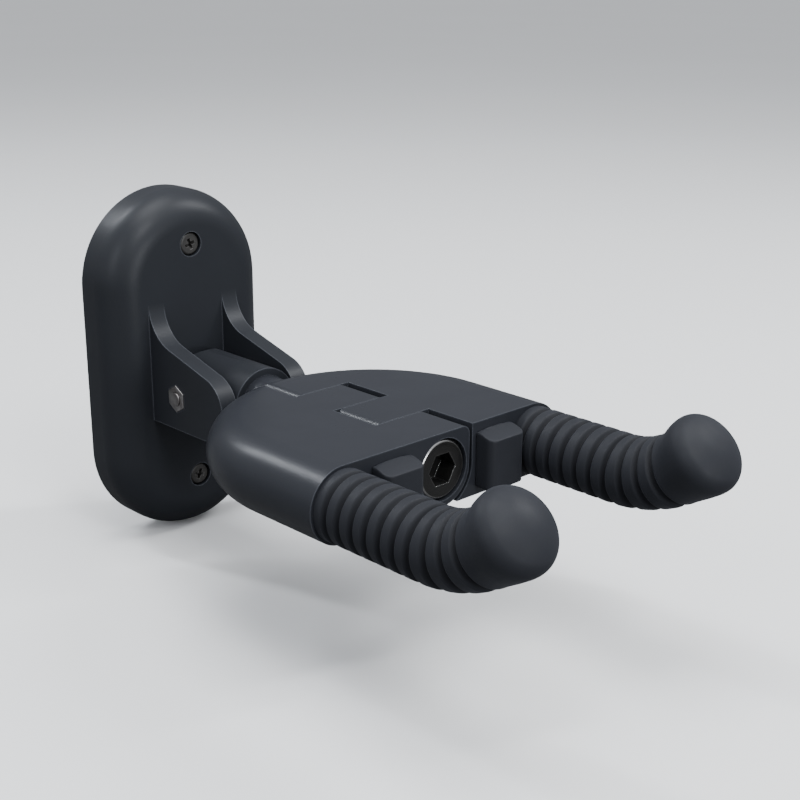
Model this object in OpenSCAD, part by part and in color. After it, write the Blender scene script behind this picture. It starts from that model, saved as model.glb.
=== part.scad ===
// Folding wall hanger for a guitar. A wall plate carries a tilting barrel between two ears.
// A yoke of two interlocking halves is clamped to the barrel and holds two padded arms.
// X runs to the right as one faces the wall, Y runs into the wall and Z runs up.
// The origin is on the wall's surface, at the height of the hinge and of the clamp bolt.

/* [Wall plate] */
// Width of the plate, whose top and bottom are half rounds
plate_w = 54.4; // [50:0.2:60]
// Height of the plate
plate_h = 103.8; // [100:0.2:116]
// Thickness of the plate
plate_t = 16; // [15:0.5:17]
// Radius of the rounded front edge
plate_edge_r = 9.8; // [7:0.2:11]
// Height of the plate's middle above the hinge
plate_rise = 4.3; // [3:0.1:6]
// Distance between the two wall screws
screw_spacing = 71.4; // [68:0.2:74]
// Height of the middle of the screw pair above the hinge
screw_mid_z = 5.2; // [4:0.1:6]
// Depth of the hollows in the back
pocket_depth = 9.5; // [6:0.5:10]

/* [Hinge] */
// Distance of the hinge axis from the wall
pivot_y = 28; // [27.8:0.1:29]
// Clear gap between the two ears
ear_gap = 20.6; // [20.4:0.1:21]
// Thickness of each ear
ear_t = 5.3; // [4.5:0.1:6]
// Distance of the rounded nose's centre from the wall
nose_y = 40.3; // [39:0.1:41]
// Radius of the rounded nose
nose_r = 9.4; // [8.8:0.1:9.6]
// Slope of the ears' upper edge
ear_slope = 15; // [12:1:18]
// Radius of the sweep where an ear runs up into the plate
ear_sweep_r = 12; // [10:0.5:13]
// Diameter of the hinge bolt
pivot_d = 4; // [3.5:0.5:5]
// Width of the hinge nut across its flats
pivot_nut_af = 7; // [6.5:0.5:8]

/* [Barrel] */
// Radius of the barrel
barrel_r = 10.5; // [10.3:0.1:11]
// Distance of the barrel's front rim from the wall
barrel_front_y = 49; // [48.5:0.1:49.5]
// Depth of the recess that takes the yoke's neck
neck_recess = 4.4; // [3.6:0.1:5]

/* [Yoke] */
// Thickness of the yoke
yoke_t = 19.6; // [18.6:0.2:19.8]
// Distance between the middles of the two arms
arm_spacing = 66.6; // [65:0.2:72]
// Distance of the yoke's front face from the wall
yoke_front_y = 119.7; // [119:0.1:121]
// Length of the yoke's straight sides
yoke_straight = 25.7; // [24:0.1:27]
// Length of each interlocking knuckle
knuckle_len = 15.6; // [15:0.1:16]
// How far the knuckles reach past the bolt's axis
knuckle_reach = 8.4; // [8.2:0.1:8.6]
// How far the interlocking ends sit towards the right of the bolt
seam_shift = 0.8; // [0:0.1:0.9]
// Play between a knuckle's end and the other half
seam_gap = 1; // [0.8:0.05:1]
// Radius of a knuckle's upper corner
knuckle_corner_r = 2.4; // [1:0.1:2.6]

/* [Clamp bolt] */
// Diameter of the clamp bolt
clamp_d = 10; // [9:0.5:10]
// Diameter of its head
clamp_head_d = 16; // [15.5:0.1:16]
// Width of the hexagon socket across its flats
clamp_hex_af = 8; // [6:1:8]
// How far the head lies below the yoke's front face
clamp_sink = 0.4; // [0.2:0.1:1]

/* [Padded arms] */
// Diameter of the steel core
core_d = 10; // [8:0.5:11]
// Outer diameter over the ribs
rib_d = 18.1; // [17:0.1:18.4]
// Number of ribs
rib_count = 10; // [8:1:10]
// Distance from one rib to the next along the straight
rib_pitch = 4.45; // [4.3:0.05:4.5]
// Straight length of an arm in front of the yoke
arm_straight = 29.6; // [28:0.1:32]
// Radius of the upward bend
bend_r = 31.5; // [30:0.5:34]
// Angle of the upward bend
bend_angle = 42; // [36:1:45]
// Diameter of the bulbous tip
tip_d = 20.5; // [19.4:0.1:21]
// Length of the tip past the end of the bend
tip_len = 9; // [8:0.1:9.4]

/* [Bumpers] */
// Width of each bumper
bumper_w = 12.6; // [11:0.2:12.8]
// How far a bumper stands out of the yoke
bumper_proud = 5.7; // [4:0.1:6.5]
// Distance of each bumper's middle from the hanger's middle
bumper_x = 17.8; // [17.6:0.1:17.9]

/* [Hidden] */
$fn = 64;

moulded = [0.17, 0.18, 0.20];
yoke_colour = [0.22, 0.23, 0.26];
rubber = [0.20, 0.21, 0.24];
bright_steel = [0.75, 0.76, 0.78];
dark_steel = [0.30, 0.31, 0.32];
slack = 0.05; // running clearance between parts that turn on each other
past = 1; // how far a cutter runs past the face that it cuts

plate_r = plate_w / 2;
plate_arc_z = plate_h / 2 - plate_r;
plate_wall = 4.8;
rib_t = 3;
boss_r = 7.5;
core_top_z = 15; // the plate stays solid behind the hinge between these two heights
core_bottom_z = -13;

screw_r = 2;
screw_neck_r = 1.4;
screw_hole_r = 2.2;
screw_head_r = 3.25;
screw_head_t = 2.6;
screw_sink_r = 3.6;
screw_sink = 3.1;
screw_tip_y = 30;
screw_point = 5;

ear_inner = ear_gap / 2;
ear_outer = ear_inner + ear_t;
nut_sink = 2.9;
nut_t = 3.2;
pivot_r = pivot_d / 2;
pivot_head_r = 3.8;
pivot_head_t = 3;
head_sink = 1.4;
washer_r = 6.6;
washer_sink = 0.8; // depth of the barrel's seat for a friction washer
bush_r = 3.5;

barrel_flat = ear_inner - 0.3;
barrel_back_y = plate_t + 0.1;
barrel_heel_r = pivot_y - barrel_back_y - 0.1;
neck_r = 8.3;
thrust_t = 1.4;
insert_r = 6.8;
insert_back_y = pivot_y + 5;
clamp_tip_y = insert_back_y + 0.7;

yoke_r = yoke_t / 2;
arm_x = arm_spacing / 2;
yoke_arc_y = yoke_front_y - yoke_straight;
reach_left = knuckle_reach - seam_shift;
reach_right = knuckle_reach + seam_shift;
knuckle_rows = 4;
knuckle_play = 0.1; // half of the gap between one knuckle's side and the next
lip_end = 5; // how near a half's lower lip comes to the bolt's axis
far = 60; // past the yoke's widest point

clamp_r = clamp_d / 2;
clamp_hole_r = clamp_r + slack;
clamp_head_t = 10;
clamp_head_round = 1.2;
clamp_socket = 5;
clamp_washer_t = 1.2;
spring_washer_t = 0.9;
counterbore_r = 8.2;
head_front_y = yoke_front_y - clamp_sink;
head_back_y = head_front_y - clamp_head_t;
counterbore_y = head_back_y - clamp_washer_t - spring_washer_t;

core_r = core_d / 2;
core_seat = 24; // length of core inside the yoke
core_end = 1; // length of core past the bend
arm_pin_r = 1.5;
arm_pin_y = yoke_front_y - 13;
rib_r = rib_d / 2;
groove_r = rib_r - 0.9;
groove_w = 1;
first_groove = 3.5;
stretch_from = 7; // the last groove at the straight part's spacing
bend_stretch = 0.7;
rib_chamfer = 0.5;
tip_r = tip_d / 2;
tip_rim_r = 3.6;
tip_dome_r = 16;
bend_y = yoke_front_y + arm_straight;

bumper_bottom_z = -7.5;
bumper_top_z = 7.6;
bumper_fall = 1.8; // drop of the top from the yoke to the front
bumper_crown_r = 40; // radius of the top across the bumper
bumper_round = 2; // radius of the upright front edges
bumper_stem_r = 3;
bumper_stem = 6;

// A solid extruded along X from x1 to x2, whose outline is drawn as (distance from the wall, height).
module along_x(x1, x2)
    translate([x1, 0, 0])
        rotate([90, 0, -90])
            mirror([0, 0, 1])
                linear_extrude(x2 - x1)
                    children();

// A cylinder along Y from the distance y1 to the distance y2 from the wall.
module rod_y(r, y1, y2)
    translate([0, -y1, 0])
        rotate([90, 0, 0])
            cylinder(r = r, h = y2 - y1);

// A cylinder along X, centred on the hinge axis.
module rod_x(r, x1, x2)
    translate([x1, -pivot_y, 0])
        rotate([0, 90, 0])
            cylinder(r = r, h = x2 - x1);

// A flat ring around the clamp bolt.
module ring_y(r, hole_r, y1, y2)
    difference() {
        rod_y(r, y1, y2);
        rod_y(hole_r, y1 - past, y2 + past);
    }

module at_screws()
    for (end = [-1, 1])
        translate([0, 0, screw_mid_z + end * screw_spacing / 2])
            children();

// ---- wall plate ----

// Half of the plate's section: radius outwards, thickness upwards.
module plate_section() {
    square([plate_r, plate_t - plate_edge_r]);
    square([plate_r - plate_edge_r, plate_t]);
    translate([plate_r - plate_edge_r, plate_t - plate_edge_r])
        circle(plate_edge_r);
}

module plate_section_right()
    intersection() {
        plate_section();
        square([plate_w, plate_t]);
    }

// The plate, drawn lying down: its long side along Y and its front face up.
module plate_blank() {
    for (end = [-1, 1])
        translate([0, end * plate_arc_z, 0])
            rotate_extrude()
                plate_section_right();
    translate([0, plate_arc_z, 0])
        rotate([90, 0, 0])
            linear_extrude(2 * plate_arc_z) {
                plate_section_right();
                mirror([1, 0]) plate_section_right();
            }
}

// A stadium of half width r with the plate's end centres, drawn lying down.
module plate_stadium(r, h) {
    for (end = [-1, 1])
        translate([0, end * plate_arc_z, 0])
            cylinder(r = r, h = h);
    translate([-r, -plate_arc_z, 0])
        cube([2 * r, 2 * plate_arc_z, h]);
}

// The hollows in the plate's back, with the ribs and the screw bosses left standing.
module plate_hollows()
    difference() {
        translate([0, 0, plate_rise])
            rotate([90, 0, 0])
                translate([0, 0, -past])
                    plate_stadium(plate_r - plate_wall, pocket_depth + past);
        translate([-far, -far, core_bottom_z])
            cube([2 * far, 2 * far, core_top_z - core_bottom_z]);
        translate([-rib_t / 2, -far, -far])
            cube([rib_t, 2 * far, 2 * far]);
        at_screws()
            rod_y(boss_r, -2 * past, plate_t);
    }

// Outline of an ear: a flat bottom, a round nose and a sloping top that sweeps up the plate.
module ear_outline() {
    sweep_y = plate_t + ear_sweep_r;
    nose_top_y = nose_y + nose_r * sin(ear_slope);
    nose_top_z = nose_r * cos(ear_slope);
    run = sweep_y - ear_sweep_r * sin(ear_slope);
    slope_z = nose_top_z + (nose_top_y - run) * tan(ear_slope);
    sweep_z = slope_z + ear_sweep_r * cos(ear_slope);
    root_y = plate_t - plate_edge_r;
    translate([nose_y, 0])
        circle(nose_r);
    polygon([[root_y, -nose_r], [nose_y, -nose_r], [nose_y, 0], [nose_top_y, nose_top_z],
             [run, slope_z], [root_y, slope_z]]);
    difference() {
        translate([root_y, slope_z - 0.01])
            square([run - root_y, sweep_z - slope_z]);
        translate([sweep_y, sweep_z])
            circle(ear_sweep_r);
    }
}

module ear()
    along_x(ear_inner, ear_outer)
        ear_outline();

module wall_plate()
    color(moulded)
        difference() {
            union() {
                translate([0, 0, plate_rise])
                    rotate([90, 0, 0])
                        plate_blank();
                ear();
                mirror([1, 0, 0]) ear();
            }
            plate_hollows();
            at_screws() {
                rod_y(screw_hole_r, -past, plate_t + past);
                rod_y(screw_sink_r, plate_t - screw_sink, plate_t + past);
            }
            rod_x(pivot_r + slack, -ear_outer - past, ear_outer + past);
            rod_x(pivot_head_r + 0.3, ear_outer - head_sink, ear_outer + past);
            translate([-ear_outer - past, -pivot_y, 0])
                rotate([0, 90, 0])
                    cylinder(d = (pivot_nut_af + 0.2) / cos(30), h = nut_sink + past, $fn = 6);
        }

module cross_recess(width, depth) {
    for (turn = [0, 90])
        rotate([0, turn, 0])
            translate([-width / 2, -depth, -0.5])
                cube([width, depth + past, 1]);
}

module wall_screw() {
    head_y = plate_t - screw_sink;
    difference() {
        union() {
            rod_y(screw_head_r, head_y, head_y + screw_head_t);
            rod_y(screw_neck_r, -0.5, head_y + 0.5);
            rod_y(screw_r, screw_point - screw_tip_y, 0);
            translate([0, screw_tip_y - screw_point, 0])
                rotate([-90, 0, 0])
                    cylinder(r1 = screw_r, r2 = 0.2, h = screw_point);
        }
        translate([0, -head_y - screw_head_t, 0])
            mirror([0, 1, 0])
                cross_recess(3.6, 1.5);
    }
}

module wall_screws()
    color(dark_steel)
        at_screws()
            wall_screw();

// ---- hinge ----

module pivot_bolt()
    color(bright_steel)
        difference() {
            union() {
                rod_x(pivot_r, -ear_outer - nut_t + nut_sink - 0.4, ear_outer);
                rod_x(pivot_head_r, ear_outer - head_sink, ear_outer - head_sink + pivot_head_t);
            }
            translate([ear_outer - head_sink + pivot_head_t - 1.5, -pivot_y, 0])
                rotate([0, 90, 0])
                    cylinder(d = 2.5 / cos(30), h = 1.5 + past, $fn = 6);
        }

module pivot_nut()
    color(bright_steel)
        difference() {
            translate([-ear_outer - nut_t + nut_sink, -pivot_y, 0])
                rotate([0, 90, 0])
                    cylinder(d = pivot_nut_af / cos(30), h = nut_t, $fn = 6);
            rod_x(pivot_r, -ear_outer - nut_t, -ear_inner);
        }

module friction_washer()
    color(bright_steel)
        difference() {
            rod_x(washer_r, barrel_flat - washer_sink + slack, ear_inner);
            rod_x(pivot_r + slack, ear_inner - 2, ear_inner + past);
        }

module left_friction_washer()
    mirror([1, 0, 0])
        friction_washer();

module right_friction_washer()
    friction_washer();

// ---- barrel ----

// Side outline: square heel below the hinge, rounded above it so that it can tip back.
module barrel_outline() {
    translate([pivot_y, 0])
        circle(barrel_heel_r);
    translate([pivot_y, -barrel_r - past])
        square([barrel_front_y - pivot_y, 2 * (barrel_r + past)]);
    translate([barrel_back_y, -barrel_r - past])
        square([pivot_y - barrel_back_y, barrel_r + past]);
}

module tilt_barrel()
    color(moulded)
        difference() {
            intersection() {
                rod_y(barrel_r, barrel_back_y, barrel_front_y);
                along_x(-barrel_flat, barrel_flat)
                    barrel_outline();
            }
            rod_x(bush_r, -far, far);
            for (side = [0, 1])
                mirror([side, 0, 0])
                    rod_x(washer_r + 0.3, barrel_flat - washer_sink, far);
            rod_y(insert_r, insert_back_y, far);
            rod_y(neck_r + slack, barrel_front_y - neck_recess, far);
        }

module pivot_bush()
    color(bright_steel)
        difference() {
            rod_x(bush_r, washer_sink - barrel_flat, barrel_flat - washer_sink);
            rod_x(pivot_r + slack, -far, far);
        }

module threaded_insert()
    color(bright_steel)
        ring_y(insert_r, clamp_r, insert_back_y, barrel_front_y - neck_recess);

module thrust_washer()
    color(bright_steel)
        ring_y(neck_r - 0.2, clamp_hole_r, barrel_front_y - neck_recess,
               barrel_front_y - neck_recess + thrust_t);

// ---- clamp bolt ----

// Half section of the bolt's head, its seat at 0 and its front edge rounded.
module clamp_head_section() {
    inset = clamp_head_d / 2 - clamp_head_round;
    square([clamp_head_d / 2, clamp_head_t - clamp_head_round]);
    square([inset, clamp_head_t]);
    translate([inset, clamp_head_t - clamp_head_round])
        circle(clamp_head_round);
}

module clamp_bolt()
    color(dark_steel)
        difference() {
            union() {
                rod_y(clamp_r, clamp_tip_y, head_back_y + 0.5);
                translate([0, -head_back_y, 0])
                    rotate([90, 0, 0])
                        rotate_extrude() clamp_head_section();
            }
            translate([0, -head_front_y + clamp_socket, 0])
                rotate([90, 0, 0])
                    cylinder(d = clamp_hex_af / cos(30), h = clamp_socket + past, $fn = 6);
        }

module clamp_washer()
    color(bright_steel)
        ring_y(clamp_head_d / 2, clamp_hole_r, head_back_y - clamp_washer_t, head_back_y);

module spring_washer()
    color(dark_steel)
        ring_y(clamp_head_d / 2 - 0.5, clamp_hole_r, counterbore_y, counterbore_y + spring_washer_t);

// ---- yoke ----

// The whole yoke before it is divided: a flat slab with fully rounded sides.
module yoke_blank() {
    translate([-arm_x, -yoke_front_y, -yoke_r])
        cube([arm_spacing, yoke_straight, yoke_t]);
    for (side = [-1, 1])
        translate([side * arm_x, 0, 0])
            rod_y(yoke_r, yoke_arc_y, yoke_front_y);
    intersection() {
        translate([0, -yoke_arc_y, 0])
            rotate_extrude() {
                translate([0, -yoke_r])
                    square([arm_x, yoke_t]);
                translate([arm_x, 0])
                    intersection() {
                        circle(yoke_r);
                        translate([0, -yoke_t])
                            square(2 * yoke_t);
                    }
            }
        translate([-far, -yoke_arc_y, -far])
            cube(2 * far);
    }
}

// End outline of a knuckle that reaches past the bolt, with a round bottom and a small upper corner.
// The outline of the slot around it is wider by play all round.
module knuckle_end(reach, play) {
    corner = play > 0 ? 0 : knuckle_corner_r;
    mid_z = reach - yoke_r;
    top_z = yoke_r + play;
    wide = reach + play;
    translate([0, mid_z])
        circle(wide);
    translate([-far, -yoke_r - play])
        square([far, yoke_r + play + top_z]);
    translate([-far, mid_z])
        square([far + wide, top_z - corner - mid_z]);
    translate([-far, mid_z])
        square([far + wide - corner, top_z - mid_z]);
    if (corner > 0)
        translate([wide - corner, top_z - corner])
            circle(corner);
}

// A knuckle of the left half, or the slot around it. They are counted from the back, from 0.
module knuckle(number, reach, play) {
    side_gap = play > 0 ? -knuckle_play : knuckle_play;
    row_y = yoke_front_y - (knuckle_rows - number) * knuckle_len;
    start_y = number == 0 ? barrel_front_y : row_y + side_gap;
    end_y = row_y + knuckle_len - side_gap + (number == knuckle_rows - 1 ? 2 * past : 0);
    translate([0, -start_y, 0])
        rotate([90, 0, 0])
            linear_extrude(end_y - start_y)
                knuckle_end(reach, play);
}

// The left half: it owns the knuckles in own, and makes room for those in others.
module yoke_half(own, own_reach, others, other_reach)
    intersection() {
        yoke_blank();
        difference() {
            union() {
                translate([-far, -2 * yoke_front_y, -far])
                    cube([far - lip_end, 4 * yoke_front_y, 2 * far]);
                for (number = own)
                    knuckle(number, own_reach, 0);
            }
            for (number = others)
                mirror([1, 0, 0])
                    knuckle(number, other_reach, seam_gap);
        }
    }

module arm_holes(side)
    translate([side * arm_x, 0, 0]) {
        rod_y(core_r, yoke_front_y - core_seat, yoke_front_y + past);
        translate([0, -arm_pin_y, -far])
            cylinder(r = arm_pin_r, h = far + core_r + 2);
    }

module bumper_hole(side)
    translate([side * bumper_x, 0, 0])
        rod_y(bumper_stem_r, yoke_front_y - bumper_stem, yoke_front_y + past);

module left_yoke_half()
    color(yoke_colour)
        difference() {
            yoke_half([1, 3], reach_right, [0, 2], reach_left);
            rod_y(clamp_hole_r, 0, 2 * yoke_front_y);
            rod_y(counterbore_r, counterbore_y, 2 * yoke_front_y);
            arm_holes(-1);
            bumper_hole(-1);
        }

module right_yoke_half()
    color(yoke_colour)
        difference() {
            union() {
                mirror([1, 0, 0])
                    yoke_half([0, 2], reach_left, [1, 3], reach_right);
                rod_y(neck_r, barrel_front_y - neck_recess + thrust_t + slack, yoke_arc_y - arm_x);
            }
            rod_y(clamp_hole_r, 0, 2 * yoke_front_y);
            arm_holes(1);
            bumper_hole(1);
        }

// ---- padded arms ----

// Places its children at the angle turn along the upward bend, pointing along the arm.
module on_bend(turn)
    translate([0, -bend_y - bend_r * sin(turn), bend_r * (1 - cos(turn))])
        rotate([90 - turn, 0, 0])
            children();

// Sweeps a round of radius r along the upward bend, from the angle start to the bend's end.
module bend_sweep(r, start)
    translate([0, -bend_y, bend_r])
        rotate([0, 90, 0])
            rotate([180, 0, -start])
                rotate_extrude(angle = bend_angle - start)
                    translate([bend_r, 0])
                        circle(r);

// The steel core from the distance back_y to its end just past the bend.
module core_rod(back_y) {
    rod_y(core_r, back_y, bend_y);
    bend_sweep(core_r, 0);
    on_bend(bend_angle)
        translate([0, 0, -core_end])
            cylinder(r1 = core_r - 0.2, r2 = core_r - 1, h = 3 * core_end);
}

module arm_core(side)
    color(bright_steel)
        translate([side * arm_x, 0, 0])
            difference() {
                core_rod(yoke_front_y - core_seat);
                translate([0, -arm_pin_y, -far])
                    cylinder(r = arm_pin_r, h = 2 * far);
            }

module left_arm_core() arm_core(-1);
module right_arm_core() arm_core(1);

module arm_pin(side)
    color(dark_steel)
        translate([side * arm_x, -arm_pin_y, 0.2 - yoke_r])
            cylinder(r = arm_pin_r, h = yoke_r - 0.2 + core_r + 2);

module left_arm_pin() arm_pin(-1);
module right_arm_pin() arm_pin(1);

// Angle along the bend of a point at the distance s from the yoke, measured along the arm.
function bend_turn(s) = (s - arm_straight) / bend_r * 180 / PI;

// Distance along the arm from the yoke to the middle of groove k. They lie further apart in the bend.
function groove_at(k) = first_groove + rib_pitch * (k - 1) + bend_stretch * max(0, k - stretch_from);

// Half section of one rib of the length 2 * half, its middle at the height 0.
module rib_section(half) {
    polygon([[0, -half], [rib_r - rib_chamfer, -half], [rib_r, rib_chamfer - half],
             [rib_r, half - rib_chamfer], [rib_r - rib_chamfer, half], [0, half]]);
}

module rib(k) {
    start = max(0, groove_at(k)) + groove_w / 2;
    end = groove_at(k + 1) - groove_w / 2;
    middle = (start + end) / 2;
    half = (end - start) / 2;
    if (middle < arm_straight)
        translate([0, -yoke_front_y - middle, 0])
            rotate([90, 0, 0])
                rotate_extrude() rib_section(half);
    else
        on_bend(bend_turn(middle))
            rotate_extrude() rib_section(half);
}

// The bulbous tip: it flares out of the arm, turns round its rim and closes in a shallow dome.
module tip_section() {
    rim_x = tip_r - tip_rim_r;
    dome_z = tip_len - tip_dome_r;
    rim_z = dome_z + sqrt(pow(tip_dome_r - tip_rim_r, 2) - rim_x * rim_x);
    meet_x = rim_x * tip_dome_r / (tip_dome_r - tip_rim_r);
    polygon([[0, -1], [rib_r - 0.4, -1], [rib_r, 0.5], [tip_r, rim_z], [0, rim_z]]);
    intersection() {
        translate([rim_x, rim_z])
            circle(tip_rim_r);
        translate([0, rim_z])
            square(tip_d);
    }
    intersection() {
        translate([0, dome_z])
            circle(tip_dome_r);
        translate([0, rim_z])
            square([meet_x, tip_d]);
    }
}

module grip_sleeve(side)
    color(rubber)
        translate([side * arm_x, 0, 0])
            difference() {
                union() {
                    rod_y(groove_r, yoke_front_y, bend_y);
                    bend_sweep(groove_r, 0);
                    for (k = [0 : rib_count - 1])
                        rib(k);
                    bend_sweep(rib_r, bend_turn(groove_at(rib_count) + groove_w / 2));
                    on_bend(bend_angle)
                        rotate_extrude() tip_section();
                }
                core_rod(yoke_front_y - past);
            }

module left_grip_sleeve() grip_sleeve(-1);
module right_grip_sleeve() grip_sleeve(1);

// ---- bumpers ----

// Side view of a bumper, whose top falls away from the yoke.
module bumper_side()
    polygon([[yoke_front_y, bumper_bottom_z], [yoke_front_y + bumper_proud, bumper_bottom_z],
             [yoke_front_y + bumper_proud, bumper_top_z - bumper_fall], [yoke_front_y, bumper_top_z]]);

// Footprint of a bumper, its front at 0 and its back reaching past the yoke's face.
module bumper_footprint() {
    inset = bumper_w / 2 - bumper_round;
    translate([-bumper_w / 2, bumper_round])
        square([bumper_w, bumper_proud]);
    translate([-inset, 0])
        square([2 * inset, bumper_proud]);
    for (side = [-1, 1])
        translate([side * inset, bumper_round])
            circle(bumper_round);
}

module bumper(side)
    color(rubber)
        translate([side * bumper_x, 0, 0]) {
            intersection() {
                along_x(-bumper_w / 2, bumper_w / 2)
                    bumper_side();
                translate([0, -yoke_front_y - bumper_proud, -yoke_t])
                    linear_extrude(2 * yoke_t)
                        bumper_footprint();
                translate([0, 0, bumper_top_z - bumper_crown_r])
                    rod_y(bumper_crown_r, yoke_front_y, yoke_front_y + bumper_proud);
            }
            rod_y(bumper_stem_r, yoke_front_y - bumper_stem, yoke_front_y + past);
        }

module left_bumper() bumper(-1);
module right_bumper() bumper(1);

wall_plate();
wall_screws();
pivot_bolt();
pivot_nut();
left_friction_washer();
right_friction_washer();
tilt_barrel();
pivot_bush();
threaded_insert();
thrust_washer();
clamp_bolt();
clamp_washer();
spring_washer();
left_yoke_half();
right_yoke_half();
left_arm_core();
right_arm_core();
left_arm_pin();
right_arm_pin();
left_grip_sleeve();
right_grip_sleeve();
left_bumper();
right_bumper();
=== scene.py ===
import math

import bmesh
import bpy
from mathutils import Matrix, Vector


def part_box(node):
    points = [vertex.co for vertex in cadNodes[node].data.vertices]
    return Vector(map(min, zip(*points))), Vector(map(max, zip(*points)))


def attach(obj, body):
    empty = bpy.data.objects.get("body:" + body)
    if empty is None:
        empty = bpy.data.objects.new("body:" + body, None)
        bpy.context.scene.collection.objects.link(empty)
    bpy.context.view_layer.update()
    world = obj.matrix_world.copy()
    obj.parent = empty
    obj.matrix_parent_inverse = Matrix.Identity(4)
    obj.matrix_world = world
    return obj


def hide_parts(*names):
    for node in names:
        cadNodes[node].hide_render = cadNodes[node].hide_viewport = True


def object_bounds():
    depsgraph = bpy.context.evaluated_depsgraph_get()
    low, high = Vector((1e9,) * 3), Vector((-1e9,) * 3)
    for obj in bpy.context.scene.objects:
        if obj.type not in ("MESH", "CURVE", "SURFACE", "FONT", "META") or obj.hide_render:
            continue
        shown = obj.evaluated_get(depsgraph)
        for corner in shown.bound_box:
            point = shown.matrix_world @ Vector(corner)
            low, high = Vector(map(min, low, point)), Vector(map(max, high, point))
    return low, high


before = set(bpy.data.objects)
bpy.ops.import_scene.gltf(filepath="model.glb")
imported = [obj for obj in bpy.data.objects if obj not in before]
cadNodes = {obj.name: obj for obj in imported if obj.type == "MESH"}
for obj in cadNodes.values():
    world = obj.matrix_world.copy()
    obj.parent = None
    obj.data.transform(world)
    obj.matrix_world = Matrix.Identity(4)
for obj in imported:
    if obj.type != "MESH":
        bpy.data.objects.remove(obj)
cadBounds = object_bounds()
mm = 0.001  # the dictionaries of the pieces and finishes give lengths in mm
print("frame loaded:", len(cadNodes), "nodes")

# Camera and studio

camera = {
    "place": (-0.22867, -0.3426, 0.12287),
    "looksAlong": (0.6575, 0.6860, -0.3117),
    "roll": 0.28,  # degrees
    "lens": 62.06,
    "sensorWidth": 36,
    "clipStart": 0.01,
}

studio = {
    "floorGap": 0.5,  # mm below the lowest point of the hanger
    "floorSize": 24.0,  # metres
    "worldTone": (0.90, 0.93, 0.98),
    "worldStrength": (0.26, 0.92),  # on the far side and on the near side
    "worldBlend": (-0.4, 0.6),  # from how near the light grows, and where it is full
    "nearSide": (-0.45, -0.45, 0.77),
    # name: place, point it faces, width, height, power in watts, tint
    "lamps": {
        "topBox": ((0.0, -0.15, 0.85), (0.0, -0.08, 0.0), 0.5, 0.5, 5.9, (0.96, 0.98, 1.0)),
        "shoulderStrip": ((-0.22, 0.62, 0.72), (-0.03, -0.09, 0.0), 0.06, 0.40, 4.6, (0.90, 0.94, 1.0)),
        "frontBox": ((-0.17, -0.68, 0.68), (0.0, -0.06, 0.01), 0.24, 0.22, 3.2, (0.95, 0.97, 1.0)),
        "lowFront": ((0.02, -1.0, 0.10), (0.0, -0.05, 0.0), 0.28, 0.22, 2.9, (0.93, 0.96, 1.0)),
        "leftBox": ((-0.85, -0.25, 0.46), (0.0, -0.07, 0.0), 0.18, 0.35, 1.7, (0.90, 0.94, 1.0)),
        "edgeStrip": ((0.62, -0.36, 0.66), (0.0, -0.11, 0.0), 0.08, 0.40, 4.5, (0.95, 0.97, 1.0)),
    },
}


def aimAt(obj, target, roll=0.0):
    direction = Vector(target) - obj.location
    turn = direction.to_track_quat("-Z", "Y").to_matrix()
    turn = turn @ Matrix.Rotation(math.radians(roll), 3, "Z")
    obj.rotation_euler = turn.to_euler()


def makeCamera():
    data = bpy.data.cameras.new("camera")
    data.lens = camera["lens"]
    data.sensor_width = camera["sensorWidth"]
    data.clip_start = camera["clipStart"]
    obj = bpy.data.objects.new("camera", data)
    obj.location = camera["place"]
    bpy.context.scene.collection.objects.link(obj)
    aimAt(obj, Vector(camera["place"]) + Vector(camera["looksAlong"]), camera["roll"])
    bpy.context.scene.camera = obj


def makeLamps():
    for name, (place, aim, width, height, power, tint) in studio["lamps"].items():
        data = bpy.data.lights.new(name, "AREA")
        data.shape = "RECTANGLE"
        data.size = width
        data.size_y = height
        data.energy = power
        data.color = tint
        obj = bpy.data.objects.new(name, data)
        obj.location = place
        bpy.context.scene.collection.objects.link(obj)
        aimAt(obj, aim)


makeCamera()
makeLamps()
print("camera and lamps set")

# Small helpers for building node trees


def addNode(tree, kind, at, **settings):
    node = tree.nodes.new(kind)
    node.location = (at[0] * 190, at[1] * 170)
    for key, value in settings.items():
        setattr(node, key, value)
    return node


def feed(tree, socket, value):
    if value is None:
        return
    if isinstance(value, bpy.types.NodeSocket):
        tree.links.new(value, socket)
    else:
        socket.default_value = value


def calc(tree, at, operation, first, second=None, third=None, clamp=False):
    node = addNode(tree, "ShaderNodeMath", at, operation=operation, use_clamp=clamp)
    for socket, value in zip(node.inputs, (first, second, third)):
        feed(tree, socket, value)
    return node.outputs[0]


def ramp(tree, at, value, fromLow, fromHigh, toLow=0.0, toHigh=1.0, smooth=True):
    node = addNode(tree, "ShaderNodeMapRange", at)
    node.interpolation_type = "SMOOTHSTEP" if smooth else "LINEAR"
    node.clamp = True
    for name, given in (("Value", value), ("From Min", fromLow), ("From Max", fromHigh),
                        ("To Min", toLow), ("To Max", toHigh)):
        feed(tree, node.inputs[name], given)
    return node.outputs["Result"]


def noise(tree, at, where, scale, detail=2.0, rough=0.5):
    node = addNode(tree, "ShaderNodeTexNoise", at)
    feed(tree, node.inputs["Vector"], where)
    feed(tree, node.inputs["Scale"], scale)
    feed(tree, node.inputs["Detail"], detail)
    feed(tree, node.inputs["Roughness"], rough)
    return node.outputs[0]


def mixTone(tree, at, factor, first, second):
    node = addNode(tree, "ShaderNodeMix", at, data_type="RGBA")
    feed(tree, node.inputs[0], factor)
    feed(tree, node.inputs[6], first)
    feed(tree, node.inputs[7], second)
    return node.outputs[2]


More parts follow.
